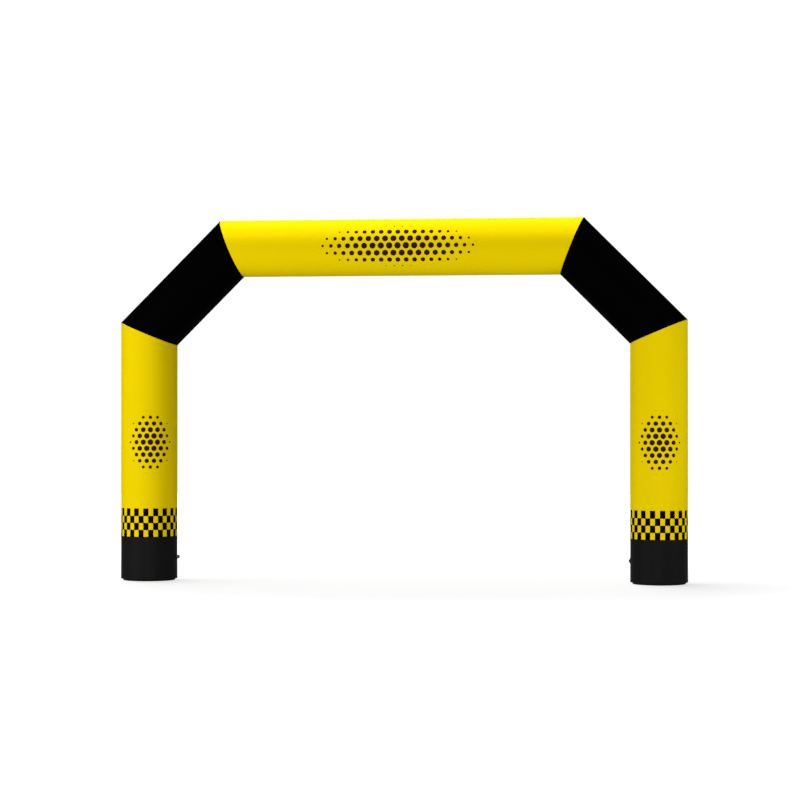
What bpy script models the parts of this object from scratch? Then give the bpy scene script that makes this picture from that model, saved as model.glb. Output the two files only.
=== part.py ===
"""Sealed-air inflatable arch of coated cloth.

Five straight tubes of one diameter meet on mitre seams and form an octagonal gateway. Each leg
ends in a foot band and a base disc that steps in below it. Webbing loops at the base seam take
pegs, an inflation valve with a quarter-turn cap sits inside the left foot, and a relief valve
sits inside the right foot. +X runs along the span, +Z is up, and the origin is on the ground
midway between the feet. Lengths are in metres.
"""

import math

import bmesh
import bpy
from mathutils import Matrix, Vector

# The arch as a whole.
OUTER_SPAN = 6.028
OUTER_HEIGHT = 3.836
TUBE_RADIUS = 0.300
CORNER_RUN = 0.903  # how far a 45 degree corner tube's axis runs sideways, and rises
TUBE_FACETS = 64

# Coated cloth. Seam gap is what two neighbouring solids keep between them.
CLOTH = 0.002
SEAM_GAP = 0.0003
SHARP_EDGE = math.radians(30)

# Foot band, and the base disc: a ledge at its rim, a lower side set in from it, a round edge.
FOOT_TOP = 0.471
BASE_RIM = 0.021
BASE_RADIUS = 0.277
BASE_EDGE = 0.007
BASE_EDGE_STEPS = 4

# Anchor loops: webbing bent into a flat-sided ring, opening across the leg's radius.
LOOP_WIDTH = 0.030
LOOP_DEPTH = 0.013
LOOP_HEIGHT = 0.028
LOOP_LOW = 0.002
WEBBING = 0.002
LOOP_BEND_STEPS = 8

# Both valves sit on the side of the foot that faces the gateway, their axes at these heights.
# Their other heights are above the cloth.
VALVE_Z = {"left": 0.249, "right": 0.238}
VALVE_FACETS = 32
VALVE_ROOT = 0.006  # how far the turned blank starts inside the tube before it is cut to the cloth
FLANGE_BEVEL = 0.0012
FLANGE_RADIUS = 0.028
FLANGE_TOP = 0.0042
NECK_RADIUS = 0.0125
NECK_TOP = 0.0235
RELIEF_FLANGE_RADIUS = 0.032
RELIEF_FLANGE_TOP = 0.0048
# Rings of the relief valve's domed boss: radius and height.
RELIEF_BOSS = ((0.0185, 0.0048), (0.0180, 0.0070), (0.0150, 0.0112), (0.0110, 0.0145),
               (0.0080, 0.0160))

# Quarter-turn cap: a ribbed, tapered cup over the neck, with a finger bar across its end.
CAP_RADIUS = 0.0220
CAP_TOP_RADIUS = 0.0160
CAP_RIB = 0.0010
CAP_LOW = 0.0060
CAP_TOP = 0.0300
CAP_BEVEL = 0.0015
CAP_CLEARANCE = 0.0008
CAP_SEAT_GAP = 0.0005
BAR_LENGTH = 0.024
BAR_WIDTH = 0.0050
BAR_TOP = 0.0360
BAR_ROOT = 0.0010

# Finishes: name, linear colour, roughness.
FINISHES = (
    ("yellow_cloth", (0.760, 0.580, 0.004), 0.42),
    ("black_cloth", (0.009, 0.009, 0.009), 0.50),
    ("black_webbing", (0.012, 0.012, 0.012), 0.80),
    ("valve_plastic", (0.020, 0.020, 0.022), 0.40),
)

LEG_X = OUTER_SPAN / 2 - TUBE_RADIUS
BEAM_Z = OUTER_HEIGHT - TUBE_RADIUS
MITRE_X = LEG_X - CORNER_RUN
MITRE_Z = BEAM_Z - CORNER_RUN
UP = Vector((0, 0, 1))
SIDES = {"left": -1, "right": 1}
FACES = {"front": -1, "back": 1}


def clear_scene():
    for item in list(bpy.data.objects):
        bpy.data.objects.remove(item, do_unlink=True)


def material(name, colour, roughness):
    """A Principled material. Nothing on the arch is metal."""
    made = bpy.data.materials.new(name)
    made.use_nodes = True
    shader = made.node_tree.nodes["Principled BSDF"]
    shader.inputs["Base Color"].default_value = (*colour, 1)
    shader.inputs["Roughness"].default_value = roughness
    shader.inputs["Metallic"].default_value = 0.0
    return made


def object_from(bm, name, finish, place=None):
    """The bmesh as a smooth-shaded object with its faces pointing out."""
    bmesh.ops.recalc_face_normals(bm, faces=bm.faces)
    mesh = bpy.data.meshes.new(name)
    bm.to_mesh(mesh)
    bm.free()
    mesh.shade_smooth()
    mesh.set_sharp_from_angle(angle=SHARP_EDGE)
    if finish:
        mesh.materials.append(finish)
    made = bpy.data.objects.new(name, mesh)
    if place:
        made.matrix_world = place
    bpy.context.scene.collection.objects.link(made)
    return made


def bridge(bm, rings, closed):
    """Quads between each ring and the next, and back to the first where closed."""
    pairs = list(zip(rings, rings[1:]))
    if closed:
        pairs.append((rings[-1], rings[0]))
    for low, high in pairs:
        for k in range(len(low)):
            after = (k + 1) % len(low)
            bm.faces.new((low[k], low[after], high[after], high[k]))


def tube(name, start, end, start_normal, end_normal, finish):
    """A cloth tube along start to end. Its ends lie in planes through those points, half a
    seam gap back from the neighbour."""
    axis = (end - start).normalized()
    front = Vector((0, -1, 0))
    across = axis.cross(front)
    bm = bmesh.new()

    def ring(radius, centre, normal, back):
        level = centre + normal.normalized() * back
        verts = []
        for k in range(TUBE_FACETS):
            turn = math.tau * k / TUBE_FACETS
            spoke = (front * math.cos(turn) + across * math.sin(turn)) * radius
            slide = (level - centre - spoke).dot(normal) / axis.dot(normal)
            verts.append(bm.verts.new(centre + spoke + axis * slide))
        return verts

    inner = TUBE_RADIUS - CLOTH
    half = SEAM_GAP / 2
    rings = [
        ring(TUBE_RADIUS, start, start_normal, half),
        ring(TUBE_RADIUS, end, end_normal, -half),
        ring(inner, end, end_normal, -half),
        ring(inner, start, start_normal, half),
    ]
    bridge(bm, rings, closed=True)
    return object_from(bm, name, finish)


def turned(name, profile, facets, finish, place, rib=0.0):
    """A solid turned about local Z from (radius, height) points. Its first and last points
    close with flat discs, and every other facet of its ribbed points is rib nearer the axis."""
    bm = bmesh.new()
    rings = []
    for radius, height, *ribbed in profile:
        verts = []
        for k in range(facets):
            turn = math.tau * k / facets
            reach = radius - (rib if ribbed and k % 2 else 0.0)
            verts.append(bm.verts.new((reach * math.cos(turn), reach * math.sin(turn), height)))
        rings.append(verts)
    bridge(bm, rings, closed=False)
    bm.faces.new(rings[0])
    bm.faces.new(rings[-1])
    return object_from(bm, name, finish, place)


def arch_tubes(yellow, black):
    """Beam, corners, legs and foot bands, each a tube between two seams."""
    ends = {}
    for side, sign in SIDES.items():
        low = Vector((sign * LEG_X, 0, MITRE_Z))
        high = Vector((sign * MITRE_X, 0, BEAM_Z))
        slope = (high - low).normalized()
        inward = Vector((-sign, 0, 0))
        seam_low = UP + slope
        seam_high = slope + inward
        rim = Vector((sign * LEG_X, 0, BASE_RIM))
        check = Vector((sign * LEG_X, 0, FOOT_TOP))
        tube(f"foot_panel_{side}", rim, check, UP, UP, black)
        tube(f"leg_panel_{side}", check, low, UP, seam_low, yellow)
        tube(f"corner_panel_{side}", low, high, seam_low, seam_high, black)
        ends[side] = (high, seam_high)
    start, start_normal = ends["left"]
    end, end_normal = ends["right"]
    tube("beam_panel", start, end, start_normal, -end_normal, yellow)


def base_disc(side, sign, finish):
    """Flat underside, rounded edge and upright side, then a ledge out to the tube's rim, half a
    seam gap below the foot band."""
    rim = BASE_RIM - SEAM_GAP / 2

    def edge(inset):
        reach = BASE_EDGE - inset
        points = []
        for k in range(BASE_EDGE_STEPS + 1):
            turn = math.pi / 2 * k / BASE_EDGE_STEPS
            radius = BASE_RADIUS - BASE_EDGE + reach * math.sin(turn)
            points.append((radius, BASE_EDGE - reach * math.cos(turn)))
        return points

    outside = edge(0.0) + [(BASE_RADIUS, rim - CLOTH), (TUBE_RADIUS, rim - CLOTH)]
    inside = edge(CLOTH) + [(BASE_RADIUS - CLOTH, rim), (TUBE_RADIUS, rim)]
    place = Matrix.Translation((sign * LEG_X, 0, 0))
    turned(f"base_disc_{side}", outside + inside[::-1], TUBE_FACETS, finish, place)


def loop_section(inset):
    """(outward, height) points of a ring of webbing with two flat sides and round bends."""
    middle = LOOP_DEPTH / 2
    radius = middle - inset
    points = []
    for start, centre in ((0.0, LOOP_HEIGHT - middle), (math.pi, middle)):
        for k in range(LOOP_BEND_STEPS + 1):
            turn = start + math.pi * k / LOOP_BEND_STEPS
            points.append((middle + radius * math.cos(turn), centre + radius * math.sin(turn)))
    return points


def anchor_loop(side, face, finish):
    """A loop that hangs against the foot's lower edge, its eye running along X."""
    x = SIDES[side] * LEG_X
    facing = FACES[face]
    bm = bmesh.new()

    def ring(inset, offset):
        verts = []
        for outward, height in loop_section(inset):
            y = facing * (TUBE_RADIUS + SEAM_GAP + outward)
            verts.append(bm.verts.new((x + offset, y, LOOP_LOW + height)))
        return verts

    half = LOOP_WIDTH / 2
    rings = [ring(0.0, -half), ring(0.0, half), ring(WEBBING, half), ring(WEBBING, -half)]
    bridge(bm, rings, closed=True)
    object_from(bm, f"anchor_loop_{side}_{face}", finish)


def on_foot(side):
    """Local Z points from the cloth of a foot's inner side into the gateway."""
    out = Vector((-SIDES[side], 0, 0))
    turn = UP.rotation_difference(out).to_matrix().to_4x4()
    centre = Vector((SIDES[side] * LEG_X, 0, VALVE_Z[side]))
    return Matrix.Translation(centre + out * TUBE_RADIUS) @ turn


def cut_to_cloth(piece, side):
    """Shapes the piece's back to the foot's round side, a seam gap off the cloth."""
    reach = 2 * RELIEF_FLANGE_RADIUS
    profile = [(TUBE_RADIUS + SEAM_GAP, -reach), (TUBE_RADIUS + SEAM_GAP, reach)]
    place = Matrix.Translation((SIDES[side] * LEG_X, 0, VALVE_Z[side]))
    cutter = turned(f"cutter_{side}", profile, TUBE_FACETS, None, place)
    cutter.hide_render = True
    cutter.display_type = "WIRE"
    cut = piece.modifiers.new("back", "BOOLEAN")
    cut.operation = "DIFFERENCE"
    cut.object = cutter


def flange(radius, top):
    """The wide round foot of a valve, bevelled at its upper edge."""
    return [(radius, -VALVE_ROOT), (radius, top - FLANGE_BEVEL), (radius - FLANGE_BEVEL, top)]


def inflation_valve(finish):
    """Flange and neck, on the left foot."""
    profile = flange(FLANGE_RADIUS, FLANGE_TOP)
    profile += [
        (NECK_RADIUS, FLANGE_TOP),
        (NECK_RADIUS, NECK_TOP - FLANGE_BEVEL),
        (NECK_RADIUS - FLANGE_BEVEL, NECK_TOP),
    ]
    valve = turned("inflation_valve", profile, VALVE_FACETS, finish, on_foot("left"))
    cut_to_cloth(valve, "left")


def inflation_cap(finish):
    """A cup that turns about the neck's axis. Its origin is on that axis, at the cloth."""
    place = on_foot("left")
    bore = NECK_RADIUS + CAP_CLEARANCE
    ceiling = NECK_TOP + CAP_SEAT_GAP
    profile = [
        (bore, ceiling),
        (bore, CAP_LOW),
        (CAP_RADIUS, CAP_LOW, True),
        (CAP_TOP_RADIUS, CAP_TOP - CAP_BEVEL, True),
        (CAP_TOP_RADIUS - CAP_BEVEL, CAP_TOP),
    ]
    cap = turned("inflation_cap", profile, VALVE_FACETS, finish, place, CAP_RIB)

    bm = bmesh.new()
    bmesh.ops.create_cube(bm, size=1.0)
    low = CAP_TOP - BAR_ROOT
    bmesh.ops.scale(bm, vec=(BAR_WIDTH, BAR_LENGTH, BAR_TOP - low), verts=bm.verts)
    bmesh.ops.translate(bm, vec=(0, 0, (BAR_TOP + low) / 2), verts=bm.verts)
    bar = object_from(bm, "guide_finger_bar", None, place)
    bar.hide_render = True
    bar.display_type = "WIRE"
    join = cap.modifiers.new("finger bar", "BOOLEAN")
    join.operation = "UNION"
    join.object = bar


def relief_valve(finish):
    """A low flange with a domed boss, on the right foot."""
    profile = flange(RELIEF_FLANGE_RADIUS, RELIEF_FLANGE_TOP) + list(RELIEF_BOSS)
    valve = turned("relief_valve", profile, VALVE_FACETS, finish, on_foot("right"))
    cut_to_cloth(valve, "right")


def main():
    clear_scene()
    yellow, black, webbing, plastic = (material(name, *look) for name, *look in FINISHES)
    arch_tubes(yellow, black)
    for side, sign in SIDES.items():
        base_disc(side, sign, black)
        for face in FACES:
            anchor_loop(side, face, webbing)
    inflation_valve(plastic)
    inflation_cap(plastic)
    relief_valve(plastic)


main()
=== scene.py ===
import math
from collections import namedtuple

import bmesh
import bpy
import numpy as np
from mathutils import Matrix, Vector, noise


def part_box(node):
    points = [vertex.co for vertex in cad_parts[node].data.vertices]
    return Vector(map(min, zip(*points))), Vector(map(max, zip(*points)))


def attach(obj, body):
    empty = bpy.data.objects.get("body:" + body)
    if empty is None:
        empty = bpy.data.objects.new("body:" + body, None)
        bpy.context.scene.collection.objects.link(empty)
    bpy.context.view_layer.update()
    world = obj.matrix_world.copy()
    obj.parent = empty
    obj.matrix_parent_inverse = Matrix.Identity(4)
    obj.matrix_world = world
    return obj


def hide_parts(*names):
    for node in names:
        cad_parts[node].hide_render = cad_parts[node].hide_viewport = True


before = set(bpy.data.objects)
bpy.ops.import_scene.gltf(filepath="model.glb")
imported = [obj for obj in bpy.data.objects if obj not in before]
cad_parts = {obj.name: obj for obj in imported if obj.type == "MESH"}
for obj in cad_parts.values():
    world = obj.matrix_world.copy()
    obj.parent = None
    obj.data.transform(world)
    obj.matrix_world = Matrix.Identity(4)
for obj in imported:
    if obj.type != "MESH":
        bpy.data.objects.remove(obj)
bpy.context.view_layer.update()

# The looks of a free-standing inflatable arch: tubes of coated cloth, base discs, webbing
# loops and plastic valves, each in the place of its CAD node. All is in metres, with +X along
# the span, +Y from front to back and +Z up.

# ---------------------------------------------------------------------------------------
# Sizes read from the frame
# ---------------------------------------------------------------------------------------

BEAM_LOW, BEAM_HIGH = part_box("beam_panel")
LEG_LOW, LEG_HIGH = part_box("leg_panel_right")
FOOT_LOW, FOOT_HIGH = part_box("foot_panel_right")
LOOP_LOW, LOOP_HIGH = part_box("anchor_loop_right_back")
VALVE_BOXES = {"left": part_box("inflation_valve"), "right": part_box("relief_valve")}

TUBE_RADIUS = (BEAM_HIGH[2] - BEAM_LOW[2]) / 2
BEAM_Z = (BEAM_HIGH[2] + BEAM_LOW[2]) / 2
LEG_X = (FOOT_LOW[0] + FOOT_HIGH[0]) / 2
MITRE_REACH = TUBE_RADIUS * math.tan(math.pi / 8)  # a mitred end's longest side past its axis
MITRE_X = BEAM_HIGH[0] - MITRE_REACH
MITRE_Z = LEG_HIGH[2] - MITRE_REACH
FOOT_TOP = LEG_LOW[2]
BASE_RIM = FOOT_LOW[2]
VALVE_Z = {side: (low[2] + high[2]) / 2 for side, (low, high) in VALVE_BOXES.items()}

SIDES = {"left": -1, "right": 1}
FACES = {"front": -1, "back": 1}
UP = Vector((0, 0, 1))
FRONT = Vector((0, -1, 0))

# ---------------------------------------------------------------------------------------
# Sizes of the visual pieces
# ---------------------------------------------------------------------------------------

# Cloth panels, and their relief over the tube's round section.
CLOTH = 0.0022              # wall of a panel as modelled
SEAM_GAP = 0.0003           # between two panels at a seam
LAP_WIDTH = 0.022           # cloth doubled where two panels are welded
LAP_RISE = 0.0009
LAP_EDGE = 0.0016           # how far the step of a lap spreads
BACK_LAP = (0.013, 0.016)   # half width of the closing seam's lap, before and past its step
DRAW_IN = 0.0014            # how far a seam line lies under the tube's surface
DRAW_FADE = 0.0030          # distance from the seam over which that fades
PUCKER = 0.0007             # depth of the small gathers beside a seam
PUCKER_FADE = 0.045
PUCKER_WAVES = 38           # gathers round a tube
PUCKER_SWAY = 2.5           # how far they stray from even spacing, as an angle of the wave
PUCKER_SWAYS = 5            # how often they do so round a tube
SWELL = 0.0004              # broad unevenness of the blown cloth, from noise on a unit tube
SWELL_SIZE = 0.35           # length of cloth to a unit along that tube
SWELL_CELLS = 1.6           # noise cells to a unit
SWELL_SHIFT = 7             # units from one panel's part of the noise to the next one's

# Rows and columns of the tubes' meshes.
COLUMNS = 192               # around a tube
END_ROWS = (0.0, 0.0015, 0.003, 0.006, 0.010, 0.015, 0.019, 0.021, 0.023, 0.026,
            0.032, 0.042, 0.056, 0.075, 0.100, 0.130)  # distances from a seam
ROW_STEP = 0.06             # about the distance between the other rows
BACK_COLUMNS = (0.008, 0.013, 0.015, 0.017, 0.022)  # distances from the closing seam
BACK_MARGIN = 0.01          # least angle between these columns and the even ones
CLOTH_SHARP = math.radians(40)  # edges past this angle stay sharp

# Base discs.
BASE_RADIUS = 0.277         # of the base below its ledge
BASE_EDGE = 0.007           # radius of its rounded lower edge
BASE_EDGE_STEPS = 10
BASE_SIDE_STEPS = 6
BASE_BULGE = 0.0012         # how far the air swells the base's upright side
BASE_PUCKER = 0.0028        # depth of that side's gathers, as a share of the radius
BASE_PUCKER_FROM = (0.262, 0.275)   # radii between which the gathers set in
# Radii of the flat's rings, the first of them round a pinhole.
BASE_FLAT = (0.0004, 0.06, 0.12, 0.17, 0.21, 0.235, 0.255)
LEDGE_CORNER = (0.0010, 0.0006)     # small slope where the side meets the ledge: out, down
LEDGE = (0.284, 0.292, TUBE_RADIUS - DRAW_IN)  # radii of the ledge's rings

# Webbing loops. The section's points are (share of half width, share of half thickness), and
# its selvedges are thicker than what lies between them.
WEBBING = 0.0020            # thickness
LOOP_STEPS = 16             # in each bend
WEBBING_SECTION = (
    (-1.0, -0.5), (-0.97, -1.0), (-0.85, -0.82), (0.0, -0.82), (0.85, -0.82),
    (0.97, -1.0), (1.0, -0.5), (1.0, 0.5), (0.97, 1.0), (0.85, 0.82), (0.0, 0.82),
    (-0.85, 0.82), (-0.97, 1.0), (-1.0, 0.5),
)

# Printed checks: rows up a leg and columns round it.
CHECK_ROWS = 4
CHECK_ROW = 0.0737          # height of one
CHECK_COLUMNS = 36
# Where a column starts, as an angle to the right of the leg's front.
CHECK_START = {"left": math.radians(1.0), "right": math.radians(2.6)}
CHECK_SPREAD = 0.0015       # how far the ink runs over the edges of its cells
CHECK_TOP = 0.0065          # how much taller the top row is

# Dot prints: half width and half height of the group, pitch and largest dot radius. The
# group's middle is given as (way round from the front, height) on a leg, and as (way along
# from the middle, way round from the front) on the beam.
BEAM_DOTS = dict(half_u=0.86, half_v=0.235, pitch=0.088, dot=0.034)
BEAM_DOTS_AT = (0.0, 0.0)
LEG_DOTS = dict(half_u=0.245, half_v=0.335, pitch=0.076, dot=0.030)
LEG_DOTS_AT = {"left": (TUBE_RADIUS * math.radians(15), 1.475),
               "right": (TUBE_RADIUS * math.radians(1.5), 1.475)}
DOT_BLUR = 0.0005

# ---------------------------------------------------------------------------------------
# Materials
# ---------------------------------------------------------------------------------------

# The coated cloth. A size is that of a noise's features, a share is how much something
# changes the shade, and a change is how much it changes the roughness.
THREAD = 0.0011             # pitch of the base weave that shows through the coating
# The weave's height also sets the colour: painted shade in its hollows and a lighter tone on its
# crests.
THREAD_PAINTED_SHADE = 0.06
THREAD_HEIGHT = 0.00006
GRAIN_SIZE = 0.004          # of the coating itself
GRAIN_RISE = 1.4            # its height, against the weave's
TONE_SIZE, TONE_SHARE = 0.45, 1.1
FLECK_SIZE, FLECK_SHARE = 0.012, 0.5
GLOSS_SIZE, GLOSS_CHANGE = 0.08, 0.16
INK_CHANGE = -0.06
CREASE_SIZE, CREASE_HEIGHT = 0.16, 0.0035
CREASE_STRETCH = (1, 1, 0.6)
CLOTH_IOR = 1.45

# Finishes of cloth: its two shades, specular level and roughness.
Finish = namedtuple("Finish", "shades specular rough")
YELLOW = Finish(((0.775, 0.580, 0.0004), (0.815, 0.612, 0.0010)), 0.003, 0.52)
# The corners' black is the foot's black cloth made darker: painted shade for the light from below
# that reaches them less.
SHADED_CORNER_BLACK = Finish(((0.0002, 0.0002, 0.0002), (0.0006, 0.0006, 0.0006)), 0.006, 0.55)
FOOT_BLACK = Finish(((0.0058, 0.0058, 0.0058), (0.0074, 0.0074, 0.0074)), 0.04, 0.50)
BASE_BLACK = FOOT_BLACK._replace(rough=0.55)

# Inks: their two shades.
DOT_INK = ((0.025, 0.0075, 0.0004), (0.032, 0.0100, 0.0006))
CHECK_INK = ((0.0030, 0.0008, 0.0002), (0.0052, 0.0016, 0.0004))

# The webbing's weave.
RIB = 0.0022                # pitch of its rows along the strap
YARN = 0.0016               # pitch of the yarns that slant across them
YARN_SLANT = 0.6
YARN_RISE = 0.6             # the yarns' height, against the rows'
RIB_HEIGHT = 0.00012
# Painted shade: the rows' height darkens the colour in their grooves and lightens it on their
# crests.
RIB_PAINTED_SHADE = 0.2
FUZZ_SIZE = 0.006
WEBBING_SHADES = ((0.0006, 0.0006, 0.0006), (0.0042, 0.0042, 0.0044))
WEBBING_ROUGH = 0.78
WEAR_SIZE, WEAR_CHANGE = 0.01, 0.2      # patches of rougher and smoother webbing
WEBBING_SPECULAR = 0.12

# The valves' moulded plastic.
VALVE_SHADES = ((0.010, 0.010, 0.011), (0.018, 0.018, 0.019))
CAP_SHADES = ((0.055, 0.055, 0.056), (0.085, 0.085, 0.087))
# The spark texture's height also sets the colour: painted shade in its pits and a lighter tone on
# its peaks.
SPARK_SIZE, SPARK_PAINTED_SHADE, SPARK_HEIGHT = 0.0009, 0.3, 0.00005
WORN_SIZE, WORN_SHARE, WORN_CHANGE = 0.02, 1.6, 0.25
PLASTIC_ROUGH = 0.42
PLASTIC_SPECULAR = 0.4


class Graph:
    """A material's node tree, with maths written as calls."""

    def __init__(self, name):
        self.material = bpy.data.materials.new(name)
        self.material.use_nodes = True
        self.tree = self.material.node_tree
        self.shader = self.tree.nodes["Principled BSDF"]

    def node(self, kind, **settings):
        made = self.tree.nodes.new(kind)
        for key, value in settings.items():
            setattr(made, key, value)
        return made

    def feed(self, socket, value):
        """Set a socket to a value, or link it to another socket."""
        if isinstance(value, bpy.types.NodeSocket):
            self.tree.links.new(value, socket)
        else:
            socket.default_value = value

    def math(self, operation, *values, clamp=False):
        made = self.node("ShaderNodeMath", operation=operation, use_clamp=clamp)
        for socket, value in zip(made.inputs, values):
            self.feed(socket, value)
        return made.outputs[0]

    def add(self, a, b, clamp=False):
        return self.math("ADD", a, b, clamp=clamp)

    def sub(self, a, b, clamp=False):
        return self.math("SUBTRACT", a, b, clamp=clamp)

    def mul(self, a, b):
        return self.math("MULTIPLY", a, b)

    def wave(self, value, pitch):
        return self.math("SINE", self.mul(value, math.tau / pitch))

    def squares(self, a, b):
        """a squared plus b squared."""
        return self.add(self.mul(a, a), self.mul(b, b))

    def step_down(self, value, edge, soft):
        """1 where value is under edge, 0 where it is over, and smooth for soft on each side."""
        made = self.node("ShaderNodeMapRange", interpolation_type="SMOOTHSTEP")
        for key, number in (("From Min", edge - soft), ("From Max", edge + soft),
                            ("To Min", 1.0), ("To Max", 0.0)):
            made.inputs[key].default_value = number
        self.feed(made.inputs["Value"], value)
        return made.outputs["Result"]

    def cloth_place(self):
        """Distance round the tube and along it, in metres, from the mesh's own map."""
        mapped = self.node("ShaderNodeUVMap", uv_map="cloth")
        split = self.node("ShaderNodeSeparateXYZ")
        self.tree.links.new(mapped.outputs["UV"], split.inputs["Vector"])
        return split.outputs["X"], split.outputs["Y"]

    def noise(self, size, detail=3.0, roughness=0.5, stretch=(1, 1, 1)):
        """Noise about 0 with features of that size, in metres."""
        place = self.node("ShaderNodeTexCoord").outputs["Object"]
        scaled = self.node("ShaderNodeMapping")
        scaled.inputs["Scale"].default_value = stretch
        self.tree.links.new(place, scaled.inputs["Vector"])
        made = self.node("ShaderNodeTexNoise")
        self.tree.links.new(scaled.outputs["Vector"], made.inputs["Vector"])
        made.inputs["Scale"].default_value = 1 / size
        made.inputs["Detail"].default_value = detail
        made.inputs["Roughness"].default_value = roughness
        return self.sub(made.outputs["Fac"], 0.5)

    def mix(self, share, first, second):
        """The first colour where share is 0 and the second where it is 1. A colour is an
        (r, g, b) or a socket."""
        made = self.node("ShaderNodeMix", data_type="RGBA")
        self.feed(made.inputs["Factor"], share)
        for key, value in (("A", first), ("B", second)):
            socket = next(s for s in made.inputs if s.name == key and s.type == "RGBA")
            self.feed(socket, (*value, 1) if isinstance(value, tuple) else value)
        return next(s for s in made.outputs if s.type == "RGBA")

    def bump(self, height, distance, under=None):
        """A normal from a height, in units of distance, over another normal."""
        made = self.node("ShaderNodeBump")
        made.inputs["Distance"].default_value = distance
        self.feed(made.inputs["Height"], height)
        if under:
            self.tree.links.new(under, made.inputs["Normal"])
        return made.outputs["Normal"]

    def set(self, **values):
        """Principled inputs by name, with _ for a space."""
        for key, value in values.items():
            self.feed(self.shader.inputs[key.replace("_", " ")], value)


def coated_cloth(name, finish, prints=()):
    """Cloth with a coating thick enough to carry only a faint weave. prints holds pairs: a
    function of the graph that gives the share of ink, and the ink's two shades."""
    g = Graph(name)
    u, v = g.cloth_place()
    weave = g.mul(g.wave(u, THREAD), g.wave(v, THREAD))
    grain = g.noise(GRAIN_SIZE, detail=4)
    tone = g.noise(TONE_SIZE, detail=4, roughness=0.6)
    fleck = g.noise(FLECK_SIZE, detail=5, roughness=0.7)
    share = g.add(g.mul(tone, TONE_SHARE), g.mul(fleck, FLECK_SHARE))
    share = g.add(share, 0.5, clamp=True)
    # Painted shade: the weave's hollows darker and its crests lighter.
    share = g.add(share, g.mul(weave, THREAD_PAINTED_SHADE), clamp=True)
    colour = g.mix(share, *finish.shades)
    roughness = g.add(finish.rough, g.mul(g.noise(GLOSS_SIZE, detail=4), GLOSS_CHANGE))
    for print_mask, ink in prints:
        mask = print_mask(g, u, v)
        colour = g.mix(mask, colour, g.mix(share, *ink))
        roughness = g.add(roughness, g.mul(mask, INK_CHANGE))
    crease = g.bump(g.noise(CREASE_SIZE, detail=2, stretch=CREASE_STRETCH), CREASE_HEIGHT)
    normal = g.bump(g.add(weave, g.mul(grain, GRAIN_RISE)), THREAD_HEIGHT, under=crease)
    g.set(Base_Color=colour, Roughness=roughness, Normal=normal)
    g.set(Specular_IOR_Level=finish.specular, IOR=CLOTH_IOR)
    return g.material


def checks(side):
    """Alternate cells of the printed band above a foot, whose ink runs over their edges."""
    cell = math.tau * TUBE_RADIUS / CHECK_COLUMNS

    def mask(g, u, v):
        across = g.sub(u, TUBE_RADIUS * CHECK_START[side])
        down = g.sub(FOOT_TOP + CHECK_ROWS * CHECK_ROW, v)
        column = g.math("FLOOR", g.mul(across, 1 / cell))
        row = g.math("FLOOR", g.mul(g.math("MAXIMUM", down, 0.0), 1 / CHECK_ROW))
        printed = g.sub(1.0, g.math("FLOORED_MODULO", g.add(column, row), 2.0))
        # The top row has no ink above it to run down, so its upper half counts as its middle.
        from_row = g.math("PINGPONG", g.math("MAXIMUM", down, CHECK_ROW / 2), CHECK_ROW / 2)
        from_column = g.math("PINGPONG", across, cell / 2)
        near = g.math("LESS_THAN", g.math("MINIMUM", from_row, from_column), CHECK_SPREAD)
        return g.mul(g.math("MAXIMUM", printed, near), g.math("GREATER_THAN", down, -CHECK_TOP))
    return mask


def dots(half_u, half_v, pitch, dot, middle):
    """A staggered group of round dots that shrink away from its middle."""
    rise = pitch * math.sqrt(3) / 2

    def mask(g, u, v):
        across = g.sub(u, middle[0])
        along = g.sub(v, middle[1])
        row = g.math("ROUND", g.mul(along, 1 / rise))
        shift = g.mul(g.math("FLOORED_MODULO", row, 2.0), 0.5)
        column = g.add(g.math("ROUND", g.sub(g.mul(across, 1 / pitch), shift)), shift)
        centre_u = g.mul(column, pitch)
        centre_v = g.mul(row, rise)
        far = g.squares(g.mul(centre_u, 1 / half_u), g.mul(centre_v, 1 / half_v))
        radius = g.mul(g.math("SQRT", g.sub(1.0, far, clamp=True)), dot)
        away = g.math("SQRT", g.squares(g.sub(across, centre_u), g.sub(along, centre_v)))
        return g.step_down(g.sub(away, radius), 0.0, DOT_BLUR)
    return mask


def turned_axes(mask):
    """A mask whose width runs along v and whose height runs along u, as on the beam."""
    return lambda g, u, v: mask(g, v, u)


def webbing_material():
    """Black woven webbing, its rows of weave running across the strap, with painted shade in the
    grooves.
    """
    g = Graph("webbing")
    u, v = g.cloth_place()
    rib = g.wave(v, RIB)
    yarn = g.wave(g.add(u, g.mul(v, YARN_SLANT)), YARN)
    height = g.add(rib, g.mul(yarn, YARN_RISE))
    fuzz = g.add(0.5, g.noise(FUZZ_SIZE))
    # The rows' height sets the colour as well: painted shade, darker in the grooves and lighter on
    # the crests.
    share = g.add(g.mul(height, RIB_PAINTED_SHADE), fuzz, clamp=True)
    wear = g.mul(g.noise(WEAR_SIZE), WEAR_CHANGE)
    g.set(Base_Color=g.mix(share, *WEBBING_SHADES), Roughness=g.add(WEBBING_ROUGH, wear),
          Normal=g.bump(height, RIB_HEIGHT))
    g.set(Specular_IOR_Level=WEBBING_SPECULAR)
    return g.material


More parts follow.
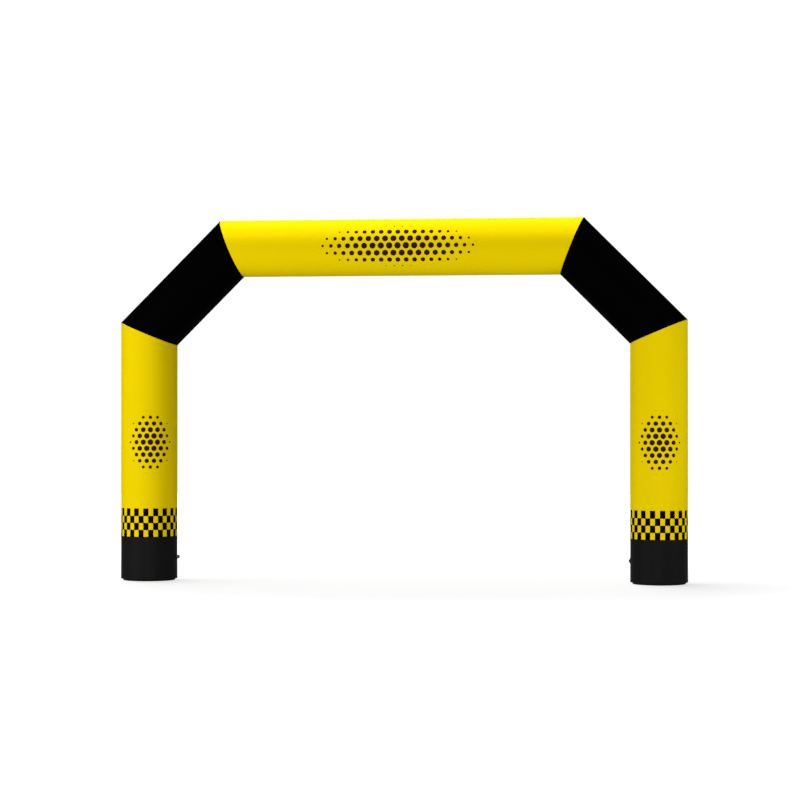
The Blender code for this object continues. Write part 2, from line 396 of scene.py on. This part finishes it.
def plastic_material(name, shades):
    """Moulded plastic: a fine spark texture with painted shade in its pits, and handled, slightly
    paler places.
    """
    g = Graph(name)
    spark = g.noise(SPARK_SIZE, detail=3)
    worn = g.noise(WORN_SIZE, detail=4, roughness=0.6)
    # Painted shade: the spark's height darkens the colour in its pits. The worn places are paler.
    share = g.add(g.mul(worn, WORN_SHARE), g.add(0.5, g.mul(spark, SPARK_PAINTED_SHADE)), clamp=True)
    g.set(Base_Color=g.mix(share, *shades), Normal=g.bump(spark, SPARK_HEIGHT),
          Roughness=g.add(PLASTIC_ROUGH, g.mul(worn, WORN_CHANGE)))
    g.set(Specular_IOR_Level=PLASTIC_SPECULAR)
    return g.material


# ---------------------------------------------------------------------------------------
# Meshes made of rings
# ---------------------------------------------------------------------------------------

def blend_step(value, low, high):
    """0 under low, 1 over high, and smooth between."""
    share = np.clip((value - low) / (high - low), 0, 1)
    return share * share * (3 - 2 * share)


def ring_mesh(rings, spots):
    """Points, faces and places of closed rings, each joined to the next and the last to the
    first. spots gives each ring's (around, along), with one extra column for the way round."""
    count = rings[0].shape[0]
    points = np.concatenate(rings)
    faces = []
    places = []
    for r in range(len(rings)):
        s = (r + 1) % len(rings)
        for k in range(count):
            n = (k + 1) % count
            faces.append((r * count + k, r * count + n, s * count + n, s * count + k))
            places += (spots[r][k], spots[r][k + 1], spots[s][k + 1], spots[s][k])
    return points, faces, places


def ring_object(name, rings, spots, finish):
    """A smooth mesh of rings whose face corners carry their place on the cloth, in metres."""
    points, faces, places = ring_mesh(rings, spots)
    mesh = bpy.data.meshes.new(name)
    mesh.from_pydata([tuple(p) for p in points], [], faces)
    layer = mesh.uv_layers.new(name="cloth")
    layer.data.foreach_set("uv", np.asarray(places, dtype=np.float32).ravel())
    mesh.materials.append(finish)
    bm = bmesh.new()
    bm.from_mesh(mesh)
    bmesh.ops.recalc_face_normals(bm, faces=bm.faces)
    bm.to_mesh(mesh)
    bm.free()
    mesh.shade_smooth()
    mesh.set_sharp_from_angle(angle=CLOTH_SHARP)
    made = bpy.data.objects.new(name, mesh)
    bpy.context.scene.collection.objects.link(made)
    return made


def column_angles():
    """Angles from the back seam right round to it again, closer together at its lap."""
    close = [side * d / TUBE_RADIUS for side in (-1, 1) for d in BACK_COLUMNS]
    even = [-math.pi + math.tau * k / COLUMNS for k in range(COLUMNS)]
    nearest = max(BACK_COLUMNS) / TUBE_RADIUS + BACK_MARGIN
    kept = [a for a in even if a == -math.pi or abs(abs(a) - math.pi) > nearest]
    lapped = [math.pi + a if a < 0 else -math.pi + a for a in close]
    return np.array(sorted(kept + lapped))


ANGLES = column_angles()
AROUND = np.append(ANGLES, math.pi) * TUBE_RADIUS   # distances round, from seam to seam


def spokes_about(axis):
    """Unit directions at ANGLES round an axis, which start at the front and turn towards +X
    where the axis points up."""
    return np.outer(np.cos(ANGLES), FRONT) + np.outer(np.sin(ANGLES), axis.cross(FRONT))


def ring_spots(along):
    """(around, along) of a ring, with the extra column."""
    return np.column_stack((AROUND, np.append(along, along[0])))


def gathers(around, turn, sway_turn=0.0):
    """0 to 1 round a tube, 1 where a gather is deepest. Their spacing sways, and the turns
    shift the gathers and the sway."""
    sway = PUCKER_SWAY * np.sin(PUCKER_SWAYS * around + sway_turn)
    return (0.5 + 0.5 * np.sin(PUCKER_WAVES * around + sway + turn)) ** 2


# ---------------------------------------------------------------------------------------
# Cloth tubes
# ---------------------------------------------------------------------------------------

def relief(around, from_start, from_end, seed):
    """How far the cloth stands out from the tube's round section, in metres."""
    near = np.minimum(from_start, from_end)
    lap = LAP_RISE * (1 - blend_step(near, LAP_WIDTH - LAP_EDGE, LAP_WIDTH))
    drawn = -DRAW_IN * np.exp(-near / DRAW_FADE)
    back = np.abs(np.abs(around) - math.pi) * TUBE_RADIUS
    seam = LAP_RISE * (1 - blend_step(back, *BACK_LAP))
    pucker = -PUCKER * np.exp(-near / PUCKER_FADE) * gathers(around, seed, seed)
    swell = np.array([
        noise.noise(SWELL_CELLS
                    * Vector((math.cos(a), math.sin(a), s / SWELL_SIZE + SWELL_SHIFT * seed)))
        for a, s in zip(around, from_start)
    ])
    return lap + drawn + seam + pucker + SWELL * swell


def cloth_tube(name, node, ends, normals, finish, along_start, seed):
    """A blown cloth tube between two seam planes, modelled as one thin closed shell."""
    start, end = ends
    axis = (end - start).normalized()
    length = (end - start).length
    spokes = spokes_about(axis)
    planes = ((start, normals[0], SEAM_GAP / 2), (end, normals[1], -SEAM_GAP / 2))

    def seam_at(radius, point, normal, back):
        """Distance along the axis where each spoke of that radius meets the seam plane."""
        n = np.array(normal.normalized())
        level = (np.array(point) - np.array(start)) @ n + back
        return (level - radius * (spokes @ n)) / (np.array(axis) @ n)

    rings, spots = [], []

    def add_ring(radius, along):
        rings.append(np.array(start) + spokes * np.reshape(radius, (-1, 1))
                     + np.outer(along, axis))
        spots.append(ring_spots(along + along_start))

    low, high = (seam_at(TUBE_RADIUS, *plane) for plane in planes)
    edge = END_ROWS[-1]
    middle = max(2, round((length - 2 * edge) / ROW_STEP))
    rows = [low + d for d in END_ROWS]
    rows += [low + edge + (high - low - 2 * edge) * k / middle for k in range(1, middle)]
    rows += [high - d for d in reversed(END_ROWS)]
    for index, along in enumerate(rows):
        radius = TUBE_RADIUS + relief(ANGLES, along - low, high - along, seed)
        if index == 0:
            along = seam_at(radius, *planes[0])
        if index == len(rows) - 1:
            along = seam_at(radius, *planes[1])
        add_ring(radius, along)
    inner = TUBE_RADIUS - CLOTH
    for plane in reversed(planes):
        add_ring(np.full(len(ANGLES), inner), seam_at(inner, *plane))

    made = ring_object(name, rings, spots, finish)
    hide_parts(node)
    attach(made, "arch")


def make_tubes():
    """Foot bands, legs, corners and beam."""
    foot_finish = coated_cloth("foot_cloth", FOOT_BLACK)
    # The corners get a darker copy of the foot's black cloth, painted shade.
    shaded_corner_finish = coated_cloth("corner_cloth_shaded", SHADED_CORNER_BLACK)
    seed = 0
    for side, sign in SIDES.items():
        rim = Vector((sign * LEG_X, 0, BASE_RIM))
        foot = Vector((sign * LEG_X, 0, FOOT_TOP))
        low = Vector((sign * LEG_X, 0, MITRE_Z))
        high = Vector((sign * MITRE_X, 0, BEAM_Z))
        slope = (high - low).normalized()
        lower = UP + slope
        upper = slope + Vector((-sign, 0, 0))
        leg_dots = dots(middle=LEG_DOTS_AT[side], **LEG_DOTS)
        leg_finish = coated_cloth(f"leg_cloth_{side}", YELLOW,
                                  prints=((checks(side), CHECK_INK), (leg_dots, DOT_INK)))
        for part, ends, normals, finish, slot, begin in (
            ("foot", (rim, foot), (UP, UP), foot_finish, "black_cloth", BASE_RIM),
            ("leg", (foot, low), (UP, lower), leg_finish, "yellow_cloth", FOOT_TOP),
            ("corner", (low, high), (lower, upper), shaded_corner_finish, "black_cloth", 0.0),
        ):
            seed += 1
            cloth_tube(f"{part}_cloth_{side}", f"{part}_panel_{side}", ends, normals,
                       finish, begin, seed)
    left = Vector((-MITRE_X, 0, BEAM_Z))
    right = Vector((MITRE_X, 0, BEAM_Z))
    slope = (left - Vector((-LEG_X, 0, MITRE_Z))).normalized()
    start_normal = slope + Vector((1, 0, 0))
    end_normal = Vector((start_normal.x, 0, -start_normal.z))
    beam_dots = turned_axes(dots(middle=BEAM_DOTS_AT, **BEAM_DOTS))
    finish = coated_cloth("beam_cloth", YELLOW, prints=((beam_dots, DOT_INK),))
    cloth_tube("beam_cloth", "beam_panel", (left, right), (start_normal, end_normal),
               finish, -MITRE_X, seed + 1)


# ---------------------------------------------------------------------------------------
# Base discs and webbing loops
# ---------------------------------------------------------------------------------------

def base_outline(inset):
    """(radius, height) of the base cloth's face, or of its inner side at that inset, from the
    middle over the flat, the rounded edge, the side and the ledge to the rim."""
    points = [(radius, inset) for radius in BASE_FLAT]
    reach = BASE_EDGE - inset
    for k in range(BASE_EDGE_STEPS + 1):
        turn = math.pi / 2 * k / BASE_EDGE_STEPS
        points.append((BASE_RADIUS - BASE_EDGE + reach * math.sin(turn),
                       BASE_EDGE - reach * math.cos(turn)))
    ledge = BASE_RIM - SEAM_GAP - CLOTH + inset
    for k in range(1, BASE_SIDE_STEPS):
        share = k / BASE_SIDE_STEPS
        points.append((BASE_RADIUS - inset + BASE_BULGE * math.sin(math.pi * share),
                       BASE_EDGE + (ledge - BASE_EDGE) * share))
    out, down = LEDGE_CORNER
    points.append((BASE_RADIUS - inset, ledge - down))
    points.append((BASE_RADIUS - inset + out, ledge))
    points += [(radius, ledge) for radius in LEDGE]
    return points


def base_discs():
    """The base panels: flat below, a rounded edge, an upright side swollen a little by the air,
    and a ledge out to the seam with the foot band."""
    finish = coated_cloth("base_cloth", BASE_BLACK)
    spokes = spokes_about(UP)
    outer = base_outline(0.0)
    profile = outer + base_outline(CLOTH)[::-1]
    for side, sign in SIDES.items():
        centre = np.array((sign * LEG_X, 0, 0))
        rings, spots = [], []
        travelled = 0.0
        last = profile[0]
        for radius, height in profile:
            travelled += math.dist(last, (radius, height))
            last = (radius, height)
            depth = BASE_PUCKER * blend_step(radius, *BASE_PUCKER_FROM)
            drawn = 1 - depth * gathers(ANGLES, sign)
            rings.append(centre + spokes * radius * drawn[:, None] + np.array((0, 0, height)))
            spots.append(ring_spots(np.full(len(ANGLES), travelled)))
        made = ring_object(f"base_cloth_{side}", rings, spots, finish)
        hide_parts(f"base_disc_{side}")
        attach(made, "arch")


def strap_path(depth, height):
    """The strap's way round its loop: (angle that it faces, distance out, height)."""
    middle = depth / 2
    radius = middle - WEBBING / 2
    path = []
    for bend, centre in ((0.0, height - middle), (math.pi, middle)):
        for k in range(LOOP_STEPS + 1):
            turn = bend + math.pi * k / LOOP_STEPS
            path.append((turn, middle + radius * math.cos(turn), centre + radius * math.sin(turn)))
    return path


def anchor_loops():
    """Short flat loops of webbing that hang against the foot's lower edge."""
    finish = webbing_material()
    width, depth, height = (high - low for low, high in zip(LOOP_LOW, LOOP_HIGH))
    path = strap_path(depth, height)
    for side, sign in SIDES.items():
        for face, facing in FACES.items():
            rings, spots = [], []
            travelled = 0.0
            last = path[0]
            for step in path:
                travelled += math.dist(last[1:], step[1:])
                last = step
                turn, out, rise = step
                ring, spot = [], []
                for across, thick in WEBBING_SECTION:
                    o = out + math.cos(turn) * thick * WEBBING / 2
                    z = rise + math.sin(turn) * thick * WEBBING / 2
                    y = facing * (LOOP_LOW[1] + o)
                    ring.append((sign * LEG_X + across * width / 2, y, LOOP_LOW[2] + z))
                    spot.append((across * width / 2, travelled))
                rings.append(np.array(ring))
                spots.append(np.array(spot + [spot[0]]))
            made = ring_object(f"webbing_loop_{side}_{face}", rings, spots, finish)
            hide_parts(f"anchor_loop_{side}_{face}")
            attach(made, "arch")


# ---------------------------------------------------------------------------------------
# Valves
# ---------------------------------------------------------------------------------------

# Heights are over the foot's inner side, and an edge is how far a corner is rounded or cut.
FACETS = 96
FLUTES = 24                 # and vents
VALVE_SHARP = math.radians(35)  # edges past this angle stay sharp

FLANGE_BACK = (0.05, 0.35, 0.7, 0.95, 1.0)  # rings of its back, as shares of its radius
FLANGE_EDGE = 0.0014
GROOVE_IN = 0.0060          # from the flange's rim to the middle of its weld groove
GROOVE_HALF = (0.0012, 0.0007)      # half the groove's width, at its mouth and at its bed
GROOVE_DEPTH = 0.0006

FLANGE_RADIUS = 0.028
FLANGE_TOP = 0.0042
NECK_RADIUS = 0.0125
NECK_TOP = 0.0235
NECK_FOOT_EDGE = 0.002
NECK_TOP_EDGE = 0.001

CAP_BORE = 0.0133           # radius of its inside
CAP_BORE_EDGE = (0.0004, 0.0002)    # out, up
CAP_CEILING = 0.0240
CAP_RADIUS = 0.0220
CAP_LIP = 0.0060            # height of its open end
CAP_LIP_EDGE = 0.0006
CAP_BAND = 0.0084           # top of the plain band below the flutes
FLUTE_Z = (0.0092, 0.0268)
FLUTE_DEPTH = 0.0009
FLUTE_STEPS = 8
CAP_TOP_RADIUS = 0.0160     # at the top of the flutes
CAP_TOP = 0.0298
CAP_TOP_EDGE = 0.0022
CAP_TOP_STEP = 0.0002       # from the top of the flutes in to that edge
CAP_DISH = ((0.0118, 0.0), (0.0110, -0.0005))   # sunk in the top: (radius, height over it)
CAP_MIDDLE = 0.004          # innermost ring of the top and of the ceiling

BAR_SIZE = (0.0048, 0.0236, 0.0074)
BAR_Z = 0.0322
BAR_EDGE = 0.0011

RELIEF_RADIUS = 0.032
RELIEF_TOP = 0.0048
VENT_DEPTH = 0.0010
# The relief valve's domed boss: (radius, height, depth of its vents), from the flange inward.
RELIEF_BOSS = (
    (0.0198, 0.0048, None), (0.0190, 0.0051, None), (0.0186, 0.0058, None),
    (0.0181, 0.0069, None), (0.0173, 0.0080, None), (0.0171, 0.0083, VENT_DEPTH),
    (0.0158, 0.0102, VENT_DEPTH), (0.0146, 0.0116, VENT_DEPTH), (0.0144, 0.0119, None),
    (0.0130, 0.0131, None), (0.0110, 0.0144, None), (0.0092, 0.0153, None),
    (0.0080, 0.0157, None), (0.0066, 0.0159, None), (0.0058, 0.0156, None),
    (0.0015, 0.0155, None),
)


def on_foot(side):
    """Local Z points from a foot's inner side into the gateway, and local Y to the back."""
    out = Vector((-SIDES[side], 0, 0))
    turned = UP.rotation_difference(out).to_matrix().to_4x4()
    centre = Vector((SIDES[side] * LEG_X, 0, VALVE_Z[side]))
    return Matrix.Translation(centre + out * TUBE_RADIUS) @ turned


def saddle(reach):
    """Height of the cloth under a point that far round the foot, with a small clearance."""
    return math.sqrt(TUBE_RADIUS ** 2 - reach ** 2) - TUBE_RADIUS + SEAM_GAP


def turned_piece(name, profile, finish, side):
    """Turned about the valve's axis from (radius, height, kind). kind "root" follows the round
    cloth, and a number is the depth of flutes or vents."""
    bm = bmesh.new()
    rings = []
    for radius, height, kind in profile:
        ring = []
        for k in range(FACETS):
            turn = math.tau * k / FACETS
            reach = radius
            if isinstance(kind, float):
                reach -= kind * (0.5 + 0.5 * math.cos(FLUTES * turn)) ** 2
            level = saddle(reach * math.sin(turn)) if kind == "root" else height
            ring.append(bm.verts.new((reach * math.cos(turn), reach * math.sin(turn), level)))
        rings.append(ring)
    for low, high in zip(rings, rings[1:]):
        for k in range(FACETS):
            n = (k + 1) % FACETS
            bm.faces.new((low[k], low[n], high[n], high[k]))
    bm.faces.new(rings[0])
    bm.faces.new(rings[-1])
    bmesh.ops.recalc_face_normals(bm, faces=bm.faces)
    mesh = bpy.data.meshes.new(name)
    bm.to_mesh(mesh)
    bm.free()
    mesh.transform(on_foot(side))
    mesh.materials.append(finish)
    mesh.shade_smooth()
    mesh.set_sharp_from_angle(angle=VALVE_SHARP)
    made = bpy.data.objects.new(name, mesh)
    bpy.context.scene.collection.objects.link(made)
    return made


def arc(centre, radius, start, end, steps):
    """(radius, height, None) points of a rounded edge, angles in degrees."""
    points = []
    for k in range(steps + 1):
        turn = math.radians(start + (end - start) * k / steps)
        points.append((centre[0] + radius * math.cos(turn), centre[1] + radius * math.sin(turn),
                       None))
    return points


def flange(radius, top):
    """Back on the cloth, rounded rim, and a shallow weld groove inside it."""
    points = [(radius * share, 0, "root") for share in FLANGE_BACK]
    points += arc((radius - FLANGE_EDGE, top - FLANGE_EDGE), FLANGE_EDGE,
                  start=0, end=90, steps=5)
    groove = radius - GROOVE_IN
    mouth, bed = GROOVE_HALF
    points += [(groove + mouth, top, None), (groove + bed, top - GROOVE_DEPTH, None),
               (groove - bed, top - GROOVE_DEPTH, None), (groove - mouth, top, None)]
    return points


def inflation_valve(finish):
    """Flange and neck on the left foot."""
    profile = flange(FLANGE_RADIUS, FLANGE_TOP)
    profile += arc((NECK_RADIUS + NECK_FOOT_EDGE, FLANGE_TOP + NECK_FOOT_EDGE), NECK_FOOT_EDGE,
                   start=270, end=180, steps=4)
    profile += arc((NECK_RADIUS - NECK_TOP_EDGE, NECK_TOP - NECK_TOP_EDGE), NECK_TOP_EDGE,
                   start=0, end=90, steps=3)
    made = turned_piece("valve_body", profile, finish, "left")
    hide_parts("inflation_valve")
    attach(made, "arch")


def finger_bar():
    """The bar across the cap's top, as an object to be joined to it."""
    bm = bmesh.new()
    bmesh.ops.create_cube(bm, size=1.0)
    bmesh.ops.scale(bm, vec=BAR_SIZE, verts=bm.verts)
    bmesh.ops.bevel(bm, geom=bm.edges[:], offset=BAR_EDGE, segments=3, affect="EDGES")
    bmesh.ops.translate(bm, vec=(0, 0, BAR_Z), verts=bm.verts)
    mesh = bpy.data.meshes.new("finger_bar")
    bm.to_mesh(mesh)
    bm.free()
    mesh.transform(on_foot("left"))
    made = bpy.data.objects.new("finger_bar", mesh)
    bpy.context.scene.collection.objects.link(made)
    return made


def valve_cap(finish):
    """Fluted, tapered cup with a finger bar, which turns with the cap body."""
    out, up = CAP_BORE_EDGE
    profile = [(CAP_MIDDLE, CAP_CEILING, None), (CAP_BORE, CAP_CEILING, None),
               (CAP_BORE, CAP_LIP + up, None), (CAP_BORE + out, CAP_LIP, None),
               (CAP_RADIUS - CAP_LIP_EDGE, CAP_LIP, None),
               (CAP_RADIUS, CAP_LIP + CAP_LIP_EDGE, None), (CAP_RADIUS, CAP_BAND, None)]
    for k in range(FLUTE_STEPS + 1):
        share = k / FLUTE_STEPS
        profile.append((CAP_RADIUS + (CAP_TOP_RADIUS - CAP_RADIUS) * share,
                        FLUTE_Z[0] + (FLUTE_Z[1] - FLUTE_Z[0]) * share, FLUTE_DEPTH))
    profile += arc((CAP_TOP_RADIUS - CAP_TOP_STEP - CAP_TOP_EDGE, CAP_TOP - CAP_TOP_EDGE),
                   CAP_TOP_EDGE, start=10, end=90, steps=6)
    profile += [(radius, CAP_TOP + height, None) for radius, height in CAP_DISH]
    profile.append((CAP_MIDDLE, CAP_TOP + CAP_DISH[-1][1], None))
    made = turned_piece("valve_cap", profile, finish, "left")

    # The bar is sunk into the top, so the two become one body.
    bar = finger_bar()
    join = made.modifiers.new("bar", "BOOLEAN")
    join.operation = "UNION"
    join.object = bar
    bpy.context.view_layer.update()
    shaped = bpy.data.meshes.new_from_object(
        made.evaluated_get(bpy.context.evaluated_depsgraph_get()))
    made.modifiers.clear()
    made.data = shaped
    bpy.data.objects.remove(bar)
    made.data.set_sharp_from_angle(angle=VALVE_SHARP)
    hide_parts("inflation_cap")
    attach(made, "cap")


def relief_valve(finish):
    """Low flange with a vented, domed boss on the right foot."""
    profile = flange(RELIEF_RADIUS, RELIEF_TOP) + list(RELIEF_BOSS)
    made = turned_piece("relief_body", profile, finish, "right")
    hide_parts("relief_valve")
    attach(made, "arch")


# ---------------------------------------------------------------------------------------
# Camera, light and floor
# ---------------------------------------------------------------------------------------

CAMERA_AT = (2.9278, -24.5225, 1.7110)
CAMERA_PITCH = 0.0085       # radians above level
CAMERA_YAW = 0.1192         # radians, anticlockwise from above
CAMERA_LENS = 105.05        # millimetres, on the sensor below
CAMERA_SENSOR = 36.0
CAMERA_RANGE = 500

# Softboxes: name, place, target, size, and brightness of a white card at the target. The
# first ones light the arch, and the last one lights the floor.
SOFTBOXES = (
    ("light_front", (1.0, -22.0, 2.5), (0, 0, 2), (7, 5), 0.368),
    ("light_left_front", (-16.0, -14.0, 4.0), (-LEG_X, 0, 1.5), (6, 6), 0.510),
    ("light_left", (-8.0, -4.0, 3.0), (-LEG_X, 0, 1.5), (3, 4), 0.176),
    ("light_right", (6.0, -1.6, 1.6), (LEG_X, 0, 1.6), (1.4, 3.6), 0.509),
    ("light_top", (0.6, 1.0, 16.0), (0.6, 0, 3.8), (12, 5), 1.95),
    ("light_back", (-3.0, 20.0, 6.0), (0, 0, 2), (9, 6), 0.62),
)
FLOOR_SOFTBOX = ("light_floor", (-21.0, 17.0, 25.0), (0, 0, 0), (76, 38), 1.56)
WHITE = (1, 1, 1, 1)
SURROUND_SEEN = 1.05        # strength of the white surround, as the camera sees it
SURROUND_CAST = 0.01        # and as it lights the scene

FLOOR_REACH = 30.0
FLOOR_FACETS = 96
FLOOR_DROP = 0.0005         # from the base discs' undersides down to the floor
FLOOR_SHADES = ((0.49, 0.49, 0.49), (0.51, 0.51, 0.51))
PAPER_SIZE = 0.02           # of the mottling between them
GLOW_TINT = (0.980, 0.985, 1.0, 1.0)
# Strengths are given near the arch and far off, with the distances between which they change
# and how those count along X, Y and Z.
FLOOR_GLOW = (0.72, 1.08)   # what the camera sees besides the lit paper
GLOW_FADE = (1.8, 6.0)
GLOW_SHAPE = (0.75, 1, 1)
FLOOR_THROW = (0.477, 0.398)    # what lights the arch from below
THROW_FADE = (3.5, 5.5)
THROW_SHAPE = (1, 1, 1)


def make_camera():
    data = bpy.data.cameras.new("camera")
    data.sensor_width = CAMERA_SENSOR
    data.lens = CAMERA_LENS
    data.clip_end = CAMERA_RANGE
    made = bpy.data.objects.new("camera", data)
    made.location = CAMERA_AT
    made.rotation_euler = (math.pi / 2 + CAMERA_PITCH, 0, CAMERA_YAW)
    bpy.context.scene.collection.objects.link(made)
    bpy.context.scene.camera = made


def softbox(name, at, target, size, brightness, receivers):
    """An area light that gives a white card at its target that share of full brightness, by
    the rule for a small light: brightness = power / (pi * distance) ** 2."""
    data = bpy.data.lights.new(name, "AREA")
    data.shape = "RECTANGLE"
    data.size, data.size_y = size
    away = Vector(target) - Vector(at)
    data.energy = brightness * math.pi ** 2 * away.length_squared
    made = bpy.data.objects.new(name, data)
    made.location = at
    made.rotation_euler = away.to_track_quat("-Z", "Y").to_euler()
    made.visible_camera = False
    made.light_linking.receiver_collection = receivers
    bpy.context.scene.collection.objects.link(made)


def linked(name, floor, state):
    """A light linking collection that holds the floor or leaves it out."""
    made = bpy.data.collections.new(name)
    made.objects.link(floor)
    made.collection_objects[0].light_linking.link_state = state
    return made


def make_light(floor):
    """Softboxes on the arch, and a wide one of the floor's own, high on the left and behind, so
    that the feet throw only a short, faint shadow to the right and forward."""
    arch = linked("lit_arch", floor, "EXCLUDE")
    for light in SOFTBOXES:
        softbox(*light, arch)
    softbox(*FLOOR_SOFTBOX, linked("lit_floor", floor, "INCLUDE"))

    world = bpy.data.worlds.new("studio")
    world.use_nodes = True
    nodes, links = world.node_tree.nodes, world.node_tree.links
    seen = nodes["Background"]
    seen.inputs["Color"].default_value = WHITE
    seen.inputs["Strength"].default_value = SURROUND_SEEN
    cast = nodes.new("ShaderNodeBackground")
    cast.inputs["Color"].default_value = WHITE
    cast.inputs["Strength"].default_value = SURROUND_CAST
    pick = nodes.new("ShaderNodeMixShader")
    links.new(nodes.new("ShaderNodeLightPath").outputs["Is Camera Ray"], pick.inputs["Fac"])
    links.new(cast.outputs["Background"], pick.inputs[1])
    links.new(seen.outputs["Background"], pick.inputs[2])
    links.new(pick.outputs["Shader"], nodes["World Output"].inputs["Surface"])
    bpy.context.scene.world = world


def floor_material():
    """A pale studio floor that fades into the white surround, as an overexposed sweep does."""
    g = Graph("floor")
    nodes, links = g.tree.nodes, g.tree.links
    place = g.node("ShaderNodeTexCoord").outputs["Object"]

    def fading(close, far, fade, shape):
        """From one strength near the arch to another far off, over the distances of fade."""
        reach = g.node("ShaderNodeVectorMath", operation="MULTIPLY")
        links.new(place, reach.inputs[0])
        reach.inputs[1].default_value = shape
        away = g.node("ShaderNodeVectorMath", operation="LENGTH")
        links.new(reach.outputs[0], away.inputs[0])
        low, high = fade
        near = g.step_down(away.outputs["Value"], (low + high) / 2, (high - low) / 2)
        return g.add(g.mul(near, close - far), far)

    paper = g.add(g.noise(PAPER_SIZE, detail=3), 0.5, clamp=True)
    matt = g.node("ShaderNodeBsdfDiffuse")
    links.new(g.mix(paper, *FLOOR_SHADES), matt.inputs["Color"])
    glow = g.node("ShaderNodeEmission")
    glow.inputs["Color"].default_value = GLOW_TINT
    links.new(fading(*FLOOR_GLOW, GLOW_FADE, GLOW_SHAPE), glow.inputs["Strength"])
    seen = g.node("ShaderNodeAddShader")
    links.new(matt.outputs[0], seen.inputs[0])
    links.new(glow.outputs[0], seen.inputs[1])
    thrown = g.node("ShaderNodeEmission")
    links.new(fading(*FLOOR_THROW, THROW_FADE, THROW_SHAPE), thrown.inputs["Strength"])
    pick = g.node("ShaderNodeMixShader")
    links.new(g.node("ShaderNodeLightPath").outputs["Is Camera Ray"], pick.inputs["Fac"])
    links.new(thrown.outputs[0], pick.inputs[1])
    links.new(seen.outputs[0], pick.inputs[2])
    links.new(pick.outputs[0], nodes["Material Output"].inputs["Surface"])
    nodes.remove(g.shader)
    return g.material


def make_floor():
    bm = bmesh.new()
    bmesh.ops.create_circle(bm, cap_ends=True, segments=FLOOR_FACETS, radius=FLOOR_REACH)
    mesh = bpy.data.meshes.new("floor")
    bm.to_mesh(mesh)
    bm.free()
    mesh.materials.append(floor_material())
    made = bpy.data.objects.new("floor", mesh)
    made.location.z = -FLOOR_DROP
    bpy.context.scene.collection.objects.link(made)
    return made


# ---------------------------------------------------------------------------------------

make_camera()
make_light(make_floor())
make_tubes()
base_discs()
anchor_loops()
valve_plastic = plastic_material("valve_plastic", VALVE_SHADES)
cap_plastic = plastic_material("cap_plastic", CAP_SHADES)
inflation_valve(valve_plastic)
valve_cap(cap_plastic)
relief_valve(valve_plastic)

bpy.context.scene.view_settings.view_transform = "Standard"
bpy.context.scene.view_settings.look = "None"

bpy.context.view_layer.update()
